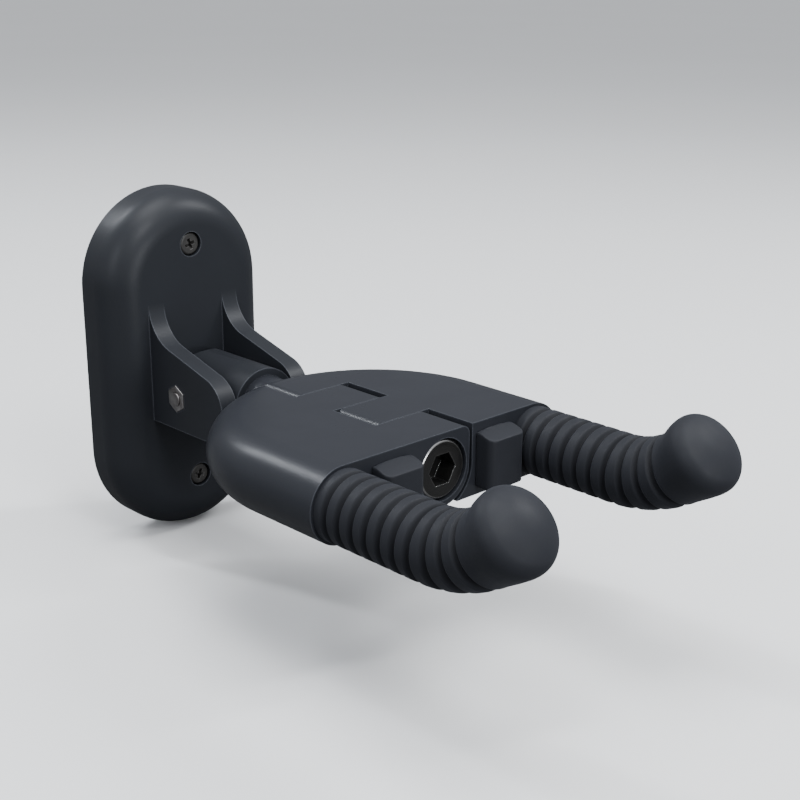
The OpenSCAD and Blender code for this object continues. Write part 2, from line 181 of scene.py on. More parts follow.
def newGroup(name, inputs, outputs):
    group = bpy.data.node_groups.new(name, "ShaderNodeTree")
    for label, kind, value in inputs:
        socket = group.interface.new_socket(name=label, in_out="INPUT", socket_type=kind)
        if value is not None:
            socket.default_value = value
    for label, kind in outputs:
        group.interface.new_socket(name=label, in_out="OUTPUT", socket_type=kind)
    return group, addNode(group, "NodeGroupInput", (-6, 0)), addNode(group, "NodeGroupOutput", (6, 0))


def useGroup(tree, group, at, **values):
    node = addNode(tree, "ShaderNodeGroup", at, node_tree=group)
    for label, value in values.items():
        feed(tree, node.inputs[label], value)
    return node


floatKind = "NodeSocketFloat"
vectorKind = "NodeSocketVector"
wholeKind = "NodeSocketInt"
materialKind = "NodeSocketMaterial"


def makeWorld():
    world = bpy.data.worlds.new("studioWorld")
    world.use_nodes = True
    tree = world.node_tree
    background = tree.nodes["Background"]
    background.inputs["Color"].default_value = (*studio["worldTone"], 1)
    direction = addNode(tree, "ShaderNodeTexCoord", (-4, 0)).outputs["Generated"]
    nearness = addNode(tree, "ShaderNodeVectorMath", (-3, 0), operation="DOT_PRODUCT")
    feed(tree, nearness.inputs[0], direction)
    nearness.inputs[1].default_value = studio["nearSide"]
    far, near = studio["worldStrength"]
    strength = ramp(tree, (-2, 0), nearness.outputs["Value"], *studio["worldBlend"], far, near)
    feed(tree, background.inputs["Strength"], strength)
    bpy.context.scene.world = world


makeWorld()
print("world set")

# Shared surface effects

effects = {
    # the spark-eroded grain
    "pitShare": 0.6,  # how much the pits count beside the fine grain
    "unevenRange": (0.32, 0.68),
    "speckleRange": (0.60, 0.78),
    # worn edges; on the plastics the lighter edge tone is also a painted highlight
    "wearSamples": 6,
    "wearTurn": (0.02, 0.22),  # how far the surface turns where wear begins and is full
    "wearPatchScale": 420.0,
    "wearPatchRange": (0.30, 0.62),
    "wearLeast": 0.82,  # what is left of the wear between the patches
    # settled dust
    "dustFacing": (0.25, 1.0),  # how far a surface faces up where dust begins and is full
    "cloudScale": 90.0,
    "cloudRange": (0.36, 0.74),
    "moteScale": 2600.0,
    "moteRange": (0.66, 0.78),
    "moteShare": 0.7,
    # marks of handling
    "rubbedRange": (0.35, 0.70),
    "scuffTurn": (0.4, 0.9, 0.6),
    "scuffStretch": (60.0, 900.0, 700.0),
    "scuffRange": (0.64, 0.72),
    "scuffPatchRange": (0.50, 0.62),
    # turned metal
    "barScale": 160.0,
}


def makeSparkTexture():
    # the fine even grain of a mould that was spark eroded, and the slow unevenness under it
    group, given, result = newGroup(
        "sparkTexture",
        [("where", vectorKind, None), ("grainSize", floatKind, 0.25), ("unevenSize", floatKind, 14.0)],
        [("grain", floatKind), ("uneven", floatKind), ("speckle", floatKind)])
    grainScale = calc(group, (-5, 1), "DIVIDE", 1000.0, given.outputs["grainSize"])
    unevenScale = calc(group, (-5, -1), "DIVIDE", 1000.0, given.outputs["unevenSize"])
    pits = addNode(group, "ShaderNodeTexVoronoi", (-3, 2), feature="SMOOTH_F1")
    feed(group, pits.inputs["Vector"], given.outputs["where"])
    feed(group, pits.inputs["Scale"], grainScale)
    fine = noise(group, (-3, 0), given.outputs["where"], grainScale, 2.0, 0.6)
    slow = noise(group, (-3, -2), given.outputs["where"], unevenScale, 3.0, 0.55)
    grain = calc(group, (0, 1), "MULTIPLY_ADD", pits.outputs["Distance"], effects["pitShare"], fine)
    feed(group, result.inputs["grain"], grain)
    feed(group, result.inputs["uneven"], ramp(group, (0, -1), slow, *effects["unevenRange"]))
    feed(group, result.inputs["speckle"], ramp(group, (0, -2), fine, *effects["speckleRange"]))
    return group


def makeEdgeWearAndPaintedHighlight():
    # where the surface turns sharply, broken up by noise: real wear on the metals, wear and a painted
    # highlight on the plastics
    group, given, result = newGroup(
        "edgeWear",
        [("where", vectorKind, None), ("width", floatKind, 0.8), ("amount", floatKind, 1.0)],
        [("mask", floatKind)])
    width = calc(group, (-5, 2), "MULTIPLY", given.outputs["width"], mm)
    rounded = addNode(group, "ShaderNodeBevel", (-4, 1), samples=effects["wearSamples"])
    feed(group, rounded.inputs["Radius"], width)
    plain = addNode(group, "ShaderNodeNewGeometry", (-4, 0))
    agree = addNode(group, "ShaderNodeVectorMath", (-3, 1), operation="DOT_PRODUCT")
    feed(group, agree.inputs[0], rounded.outputs["Normal"])
    feed(group, agree.inputs[1], plain.outputs["Normal"])
    turned = calc(group, (-2, 1), "SUBTRACT", 1.0, agree.outputs["Value"])
    patchy = noise(group, (-3, -1), given.outputs["where"], effects["wearPatchScale"], 4.0, 0.65)
    broken = ramp(group, (-1, -1), patchy, *effects["wearPatchRange"], effects["wearLeast"], 1.0)
    edge = ramp(group, (-1, 1), turned, *effects["wearTurn"])
    strength = calc(group, (1, 0), "MULTIPLY", edge, given.outputs["amount"])
    feed(group, result.inputs["mask"], calc(group, (2, 0), "MULTIPLY", strength, broken, clamp=True))
    return group


def makeDustFilm():
    # thin dust that settles on what faces up
    group, given, result = newGroup(
        "dustFilm",
        [("where", vectorKind, None), ("facing", vectorKind, None), ("amount", floatKind, 0.3)],
        [("mask", floatKind)])
    parts = addNode(group, "ShaderNodeSeparateXYZ", (-4, 1))
    feed(group, parts.inputs[0], given.outputs["facing"])
    upward = ramp(group, (-3, 1), parts.outputs["Z"], *effects["dustFacing"])
    clouds = noise(group, (-3, -1), given.outputs["where"], effects["cloudScale"], 5.0, 0.62)
    cloudy = ramp(group, (-2, -1), clouds, *effects["cloudRange"])
    specks = noise(group, (-3, -2), given.outputs["where"], effects["moteScale"], 1.0, 0.5)
    motes = ramp(group, (-2, -2), specks, *effects["moteRange"])
    both = calc(group, (0, -1), "MULTIPLY_ADD", motes, effects["moteShare"], cloudy)
    film = calc(group, (1, 0), "MULTIPLY", both, upward)
    mask = calc(group, (2, 0), "MULTIPLY", film, given.outputs["amount"], clamp=True)
    feed(group, result.inputs["mask"], mask)
    return group


def makeHandlingMarks():
    # rubbed patches and hairline scuffs left by hands and straps
    group, given, result = newGroup(
        "handlingMarks",
        [("where", vectorKind, None), ("patchSize", floatKind, 22.0)],
        [("rubbed", floatKind), ("scuffs", floatKind)])
    patchScale = calc(group, (-5, 1), "DIVIDE", 1000.0, given.outputs["patchSize"])
    patches = noise(group, (-3, 1), given.outputs["where"], patchScale, 4.0, 0.5)
    warp = addNode(group, "ShaderNodeMapping", (-4, -1))
    feed(group, warp.inputs["Vector"], given.outputs["where"])
    warp.inputs["Rotation"].default_value = effects["scuffTurn"]
    warp.inputs["Scale"].default_value = effects["scuffStretch"]
    lines = noise(group, (-2, -1), warp.outputs[0], 1.0, 3.0, 0.6)
    feed(group, result.inputs["rubbed"], ramp(group, (0, 1), patches, *effects["rubbedRange"]))
    hairs = ramp(group, (0, -1), lines, *effects["scuffRange"])
    touched = ramp(group, (0, -2), patches, *effects["scuffPatchRange"])
    feed(group, result.inputs["scuffs"], calc(group, (1, -1), "MULTIPLY", hairs, touched))
    return group


def makeTurnedLines():
    # the rings a lathe leaves round an axis along Y, and the long lines of drawn bar
    group, given, result = newGroup(
        "turnedLines",
        [("where", vectorKind, None), ("pitch", floatKind, 0.12)],
        [("rings", floatKind), ("tone", floatKind), ("reach", floatKind)])
    parts = addNode(group, "ShaderNodeSeparateXYZ", (-5, 0))
    feed(group, parts.inputs[0], given.outputs["where"])
    flat = addNode(group, "ShaderNodeCombineXYZ", (-4, 0))
    feed(group, flat.inputs["X"], parts.outputs["X"])
    feed(group, flat.inputs["Z"], parts.outputs["Z"])
    reach = addNode(group, "ShaderNodeVectorMath", (-3, 0), operation="LENGTH")
    feed(group, reach.inputs[0], flat.outputs[0])
    scale = calc(group, (-3, 2), "DIVIDE", 1000.0, given.outputs["pitch"])
    steps = calc(group, (-2, 0), "MULTIPLY", reach.outputs["Value"], scale)
    streak = addNode(group, "ShaderNodeCombineXYZ", (-1, 0))
    feed(group, streak.inputs["X"], steps)
    feed(group, result.inputs["rings"], noise(group, (1, 1), streak.outputs[0], 1.0, 3.0, 0.7))
    bar = noise(group, (1, -1), given.outputs["where"], effects["barScale"], 4.0, 0.6)
    feed(group, result.inputs["tone"], bar)
    feed(group, result.inputs["reach"], reach.outputs["Value"])
    return group


sparkTexture = makeSparkTexture()
edgeWear = makeEdgeWearAndPaintedHighlight()
dustFilm = makeDustFilm()
handlingMarks = makeHandlingMarks()
turnedLines = makeTurnedLines()
print("surface effects ready")

# Finishes

# the light edge tone of each plastic is partly wear and partly a painted highlight along the sharp edges
plasticLooks = {
    "platePlastic": {
        "tone": (0.0176, 0.0192, 0.0230),
        "deepTone": (0.0165, 0.0180, 0.0216),
        "wornEdgeAndPaintedHighlightTone": (0.085, 0.091, 0.105),
        "grainSize": 0.30,
        "grainDepth": 0.020,
        "rough": 0.42,
        "wearAndPaintedHighlight": 0.9,
        "gloss": 0.19,
    },
    "yokePlastic": {
        "tone": (0.0210, 0.0225, 0.0273),
        "deepTone": (0.0200, 0.0215, 0.0261),
        "wornEdgeAndPaintedHighlightTone": (0.085, 0.091, 0.106),
        "grainSize": 0.26,
        "grainDepth": 0.016,
        "rough": 0.33,
        "wearAndPaintedHighlight": 0.75,
        "gloss": 0.21,
    },
}
plasticShared = {
    "dustTone": (0.16, 0.16, 0.165),
    "dust": 0.006,
    "dustRough": 0.5,
    "roughSpread": 0.015,
    "rubbedRough": -0.02,
    "scuffRough": -0.08,
    "scuffDepth": -0.25,  # as a share of the grain's depth
    "unevenSize": 16.0,
    "patchSize": 24.0,
    "wearAndPaintedHighlightWidth": 0.7,
    "bump": 0.55,
}
rubberLook = {
    "tone": (0.0164, 0.0174, 0.0212),
    # painted shade for the hollows of the grooves between the ribs
    "paintedGrooveShadeTone": (0.0064, 0.0068, 0.0085),
    "rubbedTone": (0.0180, 0.0191, 0.0230),
    "dustTone": (0.17, 0.17, 0.175),
    "dust": 0.010,
    "grainSize": 0.16,
    "grainDepth": 0.012,
    "unevenSize": 9.0,
    "patchSize": 13.0,
    "rough": 0.58,
    "roughSpread": (0.05, 0.04),  # rougher where it is low, smoother where it is high
    "rubbedRough": -0.08,
    "grooveRough": 0.10,
    "speckleHeight": 0.5,
    "bump": 0.6,
    "gloss": 0.15,
    "sheen": 0.04,
    "sheenRough": 0.45,
    "sheenTone": (0.75, 0.80, 0.95),
}
oxideLooks = {
    "boltOxide": {
        "tone": (0.0085, 0.0083, 0.0082),
        "brownTone": (0.0110, 0.0104, 0.0098),
        "bareTone": (0.50, 0.49, 0.48),
        "rough": 0.30,
        "wearAndPaintedHighlightWidth": 0.4,
        "gloss": 0.42,
        "rim": (7.0, 7.5),  # the polished round at the edge of the head
    },
    "screwOxide": {
        "tone": (0.0300, 0.0290, 0.0275),
        "brownTone": (0.0420, 0.0395, 0.0365),
        "bareTone": (0.30, 0.29, 0.28),
        "rough": 0.38,
        "wearAndPaintedHighlightWidth": 0.5,
        "gloss": 0.45,
        "rim": (1000.0, 2000.0),  # beyond any screw, so none of it is polished
    },
}
oxideShared = {
    "linePitch": 0.22,
    "wearAndPaintedHighlight": 0.9,
    "brownRange": (0.38, 0.66),
    "metalBare": (0.0, 0.6),
    "metalLeast": 0.15,
    "lineRange": (0.3, 0.7),
    "roughSpread": (0.06, 0.10),
    "bareRough": -0.10,
    "bump": 0.35,
    "lineDepth": 0.012,
}
zincLook = {
    "tone": (0.42, 0.41, 0.405),
    "dullTone": (0.22, 0.205, 0.20),
    "wornEdgeAndPaintedHighlightTone": (0.75, 0.74, 0.73),
    "rough": 0.30,
    "roughSpread": (0.05, 0.12),
    "lineRange": (0.3, 0.7),
    "linePitch": 0.18,
    "lineDepth": 0.010,
    "scuffDepth": -0.5,  # as a share of the lines' depth
    "patchSize": 4.0,
    "wearAndPaintedHighlight": 0.6,
    "wearAndPaintedHighlightWidth": 0.5,
    "bump": 0.30,
}


def startFinish(name):
    material = bpy.data.materials.new(name)
    material.use_nodes = True
    tree = material.node_tree
    tree.nodes.clear()
    output = addNode(tree, "ShaderNodeOutputMaterial", (8, 0))
    shader = addNode(tree, "ShaderNodeBsdfPrincipled", (6, 0))
    tree.links.new(shader.outputs[0], output.inputs[0])
    place = addNode(tree, "ShaderNodeTexCoord", (-6, 0))
    return material, tree, shader, place.outputs["Object"], place.outputs["Normal"]


def addBump(tree, shader, height, strength, depth):
    node = addNode(tree, "ShaderNodeBump", (2, -2))
    node.inputs["Strength"].default_value = strength
    node.inputs["Distance"].default_value = depth * mm
    feed(tree, node.inputs["Height"], height)
    feed(tree, shader.inputs["Normal"], node.outputs["Normal"])


def solid(tone):
    return (*tone, 1.0)


def makePlastic(name):
    look = {**plasticShared, **plasticLooks[name]}
    material, tree, shader, where, facing = startFinish(name)
    spark = useGroup(tree, sparkTexture, (-4, 1), where=where,
                     grainSize=look["grainSize"], unevenSize=look["unevenSize"])
    wearAndPaintedHighlight = useGroup(tree, edgeWear, (-4, -1), where=where, width=look["wearAndPaintedHighlightWidth"], amount=look["wearAndPaintedHighlight"])
    dust = useGroup(tree, dustFilm, (-4, -2), where=where, facing=facing, amount=look["dust"])
    marks = useGroup(tree, handlingMarks, (-4, -3), where=where, patchSize=look["patchSize"])
    uneven, scuffs = spark.outputs["uneven"], marks.outputs["scuffs"]
    tone = mixTone(tree, (-2, 2), uneven, solid(look["deepTone"]), solid(look["tone"]))
    # the lighter tone along sharp edges is partly wear and partly a painted highlight where the rounded
    # edges would catch the lamps
    tone = mixTone(tree, (-1, 2), wearAndPaintedHighlight.outputs["mask"], tone, solid(look["wornEdgeAndPaintedHighlightTone"]))
    tone = mixTone(tree, (0, 2), dust.outputs["mask"], tone, solid(look["dustTone"]))
    feed(tree, shader.inputs["Base Color"], tone)
    roughest, smoothest = look["rough"] + look["roughSpread"], look["rough"] - look["roughSpread"]
    rough = ramp(tree, (-1, 0), uneven, 0.0, 1.0, roughest, smoothest)
    rough = calc(tree, (0, 0), "MULTIPLY_ADD", marks.outputs["rubbed"], look["rubbedRough"], rough)
    rough = calc(tree, (1, 0), "MULTIPLY_ADD", dust.outputs["mask"], look["dustRough"], rough)
    rough = calc(tree, (2, 0), "MULTIPLY_ADD", scuffs, look["scuffRough"], rough)
    feed(tree, shader.inputs["Roughness"], rough)
    height = calc(tree, (-1, -2), "MULTIPLY_ADD", scuffs, look["scuffDepth"], spark.outputs["grain"])
    addBump(tree, shader, height, look["bump"], look["grainDepth"])
    shader.inputs["Specular IOR Level"].default_value = look["gloss"]
    return material


def makeRubber(name):
    look = rubberLook
    material, tree, shader, where, facing = startFinish(name)
    spark = useGroup(tree, sparkTexture, (-4, 1), where=where,
                     grainSize=look["grainSize"], unevenSize=look["unevenSize"])
    dust = useGroup(tree, dustFilm, (-4, -1), where=where, facing=facing, amount=look["dust"])
    marks = useGroup(tree, handlingMarks, (-4, -2), where=where, patchSize=look["patchSize"])
    groove = addNode(tree, "ShaderNodeAttribute", (-4, -4), attribute_name="groove").outputs["Fac"]
    crest = calc(tree, (-2, -3), "SUBTRACT", 1.0, groove, clamp=True)
    rubbed = calc(tree, (-1, -3), "MULTIPLY", crest, marks.outputs["rubbed"])
    tone = mixTone(tree, (-1, 2), rubbed, solid(look["tone"]), solid(look["rubbedTone"]))
    # the grooves are painted darker: a painted shade in the hollows between the ribs
    tone = mixTone(tree, (0, 2), groove, tone, solid(look["paintedGrooveShadeTone"]))
    tone = mixTone(tree, (1, 2), dust.outputs["mask"], tone, solid(look["dustTone"]))
    feed(tree, shader.inputs["Base Color"], tone)
    more, less = look["roughSpread"]
    uneven = spark.outputs["uneven"]
    rough = ramp(tree, (-1, 0), uneven, 0.0, 1.0, look["rough"] + more, look["rough"] - less)
    rough = calc(tree, (0, 0), "MULTIPLY_ADD", rubbed, look["rubbedRough"], rough)
    rough = calc(tree, (1, 0), "MULTIPLY_ADD", groove, look["grooveRough"], rough)
    feed(tree, shader.inputs["Roughness"], rough)
    speckle = spark.outputs["speckle"]
    height = calc(tree, (0, -2), "MULTIPLY_ADD", speckle, look["speckleHeight"], spark.outputs["grain"])
    addBump(tree, shader, height, look["bump"], look["grainDepth"])
    shader.inputs["Specular IOR Level"].default_value = look["gloss"]
    shader.inputs["Sheen Weight"].default_value = look["sheen"]
    shader.inputs["Sheen Roughness"].default_value = look["sheenRough"]
    shader.inputs["Sheen Tint"].default_value = solid(look["sheenTone"])
    return material


def makeBlackOxide(name):
    look = {**oxideShared, **oxideLooks[name]}
    material, tree, shader, where, _ = startFinish(name)
    lines = useGroup(tree, turnedLines, (-4, 1), where=where, pitch=look["linePitch"])
    wearAndPaintedHighlight = useGroup(tree, edgeWear, (-4, -1), where=where, width=look["wearAndPaintedHighlightWidth"], amount=look["wearAndPaintedHighlight"])
    rimStart, rimFull = look["rim"]
    rim = ramp(tree, (-3, -1), lines.outputs["reach"], rimStart * mm, rimFull * mm)
    bare = calc(tree, (-2, -1), "MAXIMUM", wearAndPaintedHighlight.outputs["mask"], rim)
    brown = ramp(tree, (-2, 1), lines.outputs["tone"], *look["brownRange"])
    tone = mixTone(tree, (-1, 2), brown, solid(look["tone"]), solid(look["brownTone"]))
    tone = mixTone(tree, (0, 2), bare, tone, solid(look["bareTone"]))
    feed(tree, shader.inputs["Base Color"], tone)
    metal = ramp(tree, (0, 1), bare, *look["metalBare"], look["metalLeast"], 1.0)
    feed(tree, shader.inputs["Metallic"], metal)
    less, more = look["roughSpread"]
    rings = lines.outputs["rings"]
    rough = ramp(tree, (0, 0), rings, *look["lineRange"], look["rough"] - less, look["rough"] + more)
    rough = calc(tree, (1, 0), "MULTIPLY_ADD", bare, look["bareRough"], rough)
    feed(tree, shader.inputs["Roughness"], rough)
    shader.inputs["Specular IOR Level"].default_value = look["gloss"]
    addBump(tree, shader, rings, look["bump"], look["lineDepth"])
    return material


def makeZinc(name):
    look = zincLook
    material, tree, shader, where, _ = startFinish(name)
    lines = useGroup(tree, turnedLines, (-4, 1), where=where, pitch=look["linePitch"])
    wearAndPaintedHighlight = useGroup(tree, edgeWear, (-4, -1), where=where, width=look["wearAndPaintedHighlightWidth"], amount=look["wearAndPaintedHighlight"])
    marks = useGroup(tree, handlingMarks, (-4, -2), where=where, patchSize=look["patchSize"])
    tone = mixTone(tree, (-1, 2), marks.outputs["rubbed"], solid(look["dullTone"]), solid(look["tone"]))
    tone = mixTone(tree, (0, 2), wearAndPaintedHighlight.outputs["mask"], tone, solid(look["wornEdgeAndPaintedHighlightTone"]))
    feed(tree, shader.inputs["Base Color"], tone)
    shader.inputs["Metallic"].default_value = 1.0
    less, more = look["roughSpread"]
    bar = lines.outputs["tone"]
    rough = ramp(tree, (0, 0), bar, *look["lineRange"], look["rough"] - less, look["rough"] + more)
    feed(tree, shader.inputs["Roughness"], rough)
    scuffs = marks.outputs["scuffs"]
    height = calc(tree, (0, -2), "MULTIPLY_ADD", scuffs, look["scuffDepth"], lines.outputs["rings"])
    addBump(tree, shader, height, look["bump"], look["lineDepth"])
    return material


platePlastic = makePlastic("platePlastic")
yokePlastic = makePlastic("yokePlastic")
gripRubber = makeRubber("gripRubber")
boltOxide = makeBlackOxide("boltOxide")
screwOxide = makeBlackOxide("screwOxide")
zincPlate = makeZinc("zincPlate")
print("finishes ready")

# Pieces that keep the frame's form and get their edges rounded

rounding = {
    "segments": 3,
    "keptAngle": 28,  # edges that turn less than this, in degrees, stay as they are
    "joinWithin": 0.002,  # mm
    "flatWithin": 0.3,  # degrees
}
roundedPieces = {
    # node: body, slot, finish, width of the rounding in mm
    "wall_plate": ("wall", "moulded", platePlastic, 0.55),
    "tilt_barrel": ("barrel", "moulded", platePlastic, 0.45),
    "left_yoke_half": ("left_half", "yoke", yokePlastic, 0.65),
    "right_yoke_half": ("right_half", "yoke", yokePlastic, 0.65),
    "clamp_bolt": ("barrel", "dark_steel", boltOxide, 0.25),
    "pivot_bolt": ("wall", "bright_steel", zincPlate, 0.30),
    "pivot_nut": ("wall", "bright_steel", zincPlate, 0.30),
}
plainPieces = {
    "left_friction_washer": zincPlate,
    "right_friction_washer": zincPlate,
    "pivot_bush": zincPlate,
    "threaded_insert": zincPlate,
    "thrust_washer": zincPlate,
    "clamp_washer": zincPlate,
    "spring_washer": screwOxide,
    "left_arm_core": zincPlate,
    "right_arm_core": zincPlate,
    "left_arm_pin": screwOxide,
    "right_arm_pin": screwOxide,
}


def linkNew(name, mesh):
    obj = bpy.data.objects.new(name, mesh)
    bpy.context.scene.collection.objects.link(obj)
    return obj


def mergedCopy(nodeName, pieceName):
    # the frame's mesh is loose triangles, so its points are joined and its flats made whole
    mesh = cadNodes[nodeName].data.copy()
    mesh.name = pieceName
    if "custom_normal" in mesh.attributes:
        mesh.attributes.remove(mesh.attributes["custom_normal"])
    work = bmesh.new()
    work.from_mesh(mesh)
    apart = rounding["joinWithin"] * mm
    bmesh.ops.remove_doubles(work, verts=work.verts, dist=apart)
    bmesh.ops.dissolve_degenerate(work, edges=work.edges, dist=apart)
    bmesh.ops.dissolve_limit(work, angle_limit=math.radians(rounding["flatWithin"]), verts=work.verts,
                             edges=work.edges, delimit={"NORMAL"})
    for face in work.faces:
        face.smooth = True
    for edge in work.edges:
        edge.smooth = True
    work.to_mesh(mesh)
    work.free()
    mesh.materials.clear()
    return linkNew(pieceName, mesh)


def bakeModifiers(obj):
    depsgraph = bpy.context.evaluated_depsgraph_get()
    evaluated = obj.evaluated_get(depsgraph)
    mesh = bpy.data.meshes.new_from_object(evaluated, preserve_all_data_layers=True, depsgraph=depsgraph)
    obj.modifiers.clear()
    old = obj.data
    obj.data = mesh
    mesh.name = obj.name
    if old.users == 0:
        bpy.data.meshes.remove(old)
    return obj


def softenEdges(piece, width, segments, keptAngle):
    bevel = piece.modifiers.new("softenEdges", "BEVEL")
    bevel.width = width * mm
    bevel.segments = segments
    bevel.limit_method = "ANGLE"
    bevel.angle_limit = math.radians(keptAngle)
    return bevel


def makeRoundedPiece(nodeName):
    body, slotName, finish, width = roundedPieces[nodeName]
    piece = mergedCopy(nodeName, nodeName + "_finished")
    bevel = softenEdges(piece, width, rounding["segments"], rounding["keptAngle"])
    bevel.use_clamp_overlap = True
    bevel.miter_outer = "MITER_ARC"
    bevel.harden_normals = True
    bakeModifiers(piece)
    piece.data.materials.append(finish)
    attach(piece, body)
    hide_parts(nodeName)
    return piece


for nodeName in roundedPieces:
    piece = makeRoundedPiece(nodeName)
    print(piece.name, len(piece.data.polygons), "faces")

for nodeName, finish in plainPieces.items():
    materials = cadNodes[nodeName].data.materials
    materials.clear()
    materials.append(finish)
print("frame pieces finished")

# Arm sleeves: a node tree sweeps a round along the arm, with a radius that follows the ribs and the tip

sleeve = {
    "firstGroove": 3.5,
    "ribPitch": 4.45,
    "stretchFrom": 7.0,  # the last groove at the straight part's spacing
    "bendPitch": 5.15,
    "ribCount": 10.0,
    "crestRadius": 9.05,
    "grooveDepth": 1.05,
    "grooveWidth": 0.28,  # share of the pitch, each way from the groove's middle
    "straightLength": 29.6,
    "bendRadius": 31.5,
    "bendAngle": 42.0,  # degrees
    "tipRadius": 10.25,
    "tipLength": 9.0,
    "rimRadius": 4.4,
    "domeRadius": 15.5,
    "flareLead": -1.7,  # how far before the bend's end the flare begins, in parts of the rim's height
    "rings": 760,
    "sides": 88,
}


def newMaker(name, inputs):
    tree = bpy.data.node_groups.new(name, "GeometryNodeTree")
    tree.interface.new_socket(name="Geometry", in_out="INPUT", socket_type="NodeSocketGeometry")
    for label, kind in inputs:
        tree.interface.new_socket(name=label, in_out="INPUT", socket_type=kind)
    tree.interface.new_socket(name="Geometry", in_out="OUTPUT", socket_type="NodeSocketGeometry")
    return tree, addNode(tree, "NodeGroupInput", (-8, 0)), addNode(tree, "NodeGroupOutput", (26, 0))


def finishMaker(tree, at, geometry, finish, result):
    real = addNode(tree, "GeometryNodeRealizeInstances", at)
    feed(tree, real.inputs[0], geometry)
    painted = addNode(tree, "GeometryNodeSetMaterial", (at[0] + 1, at[1]))
    feed(tree, painted.inputs["Geometry"], real.outputs[0])
    feed(tree, painted.inputs["Material"], finish)
    feed(tree, result.inputs[0], painted.outputs[0])


def runMaker(name, tree, values):
    obj = linkNew(name, bpy.data.meshes.new(name))
    modifier = obj.modifiers.new("maker", "NODES")
    modifier.node_group = tree
    for item in tree.interface.items_tree:
        if item.in_out == "INPUT" and item.name in values:
            modifier[item.identifier] = values[item.name]
    return bakeModifiers(obj)


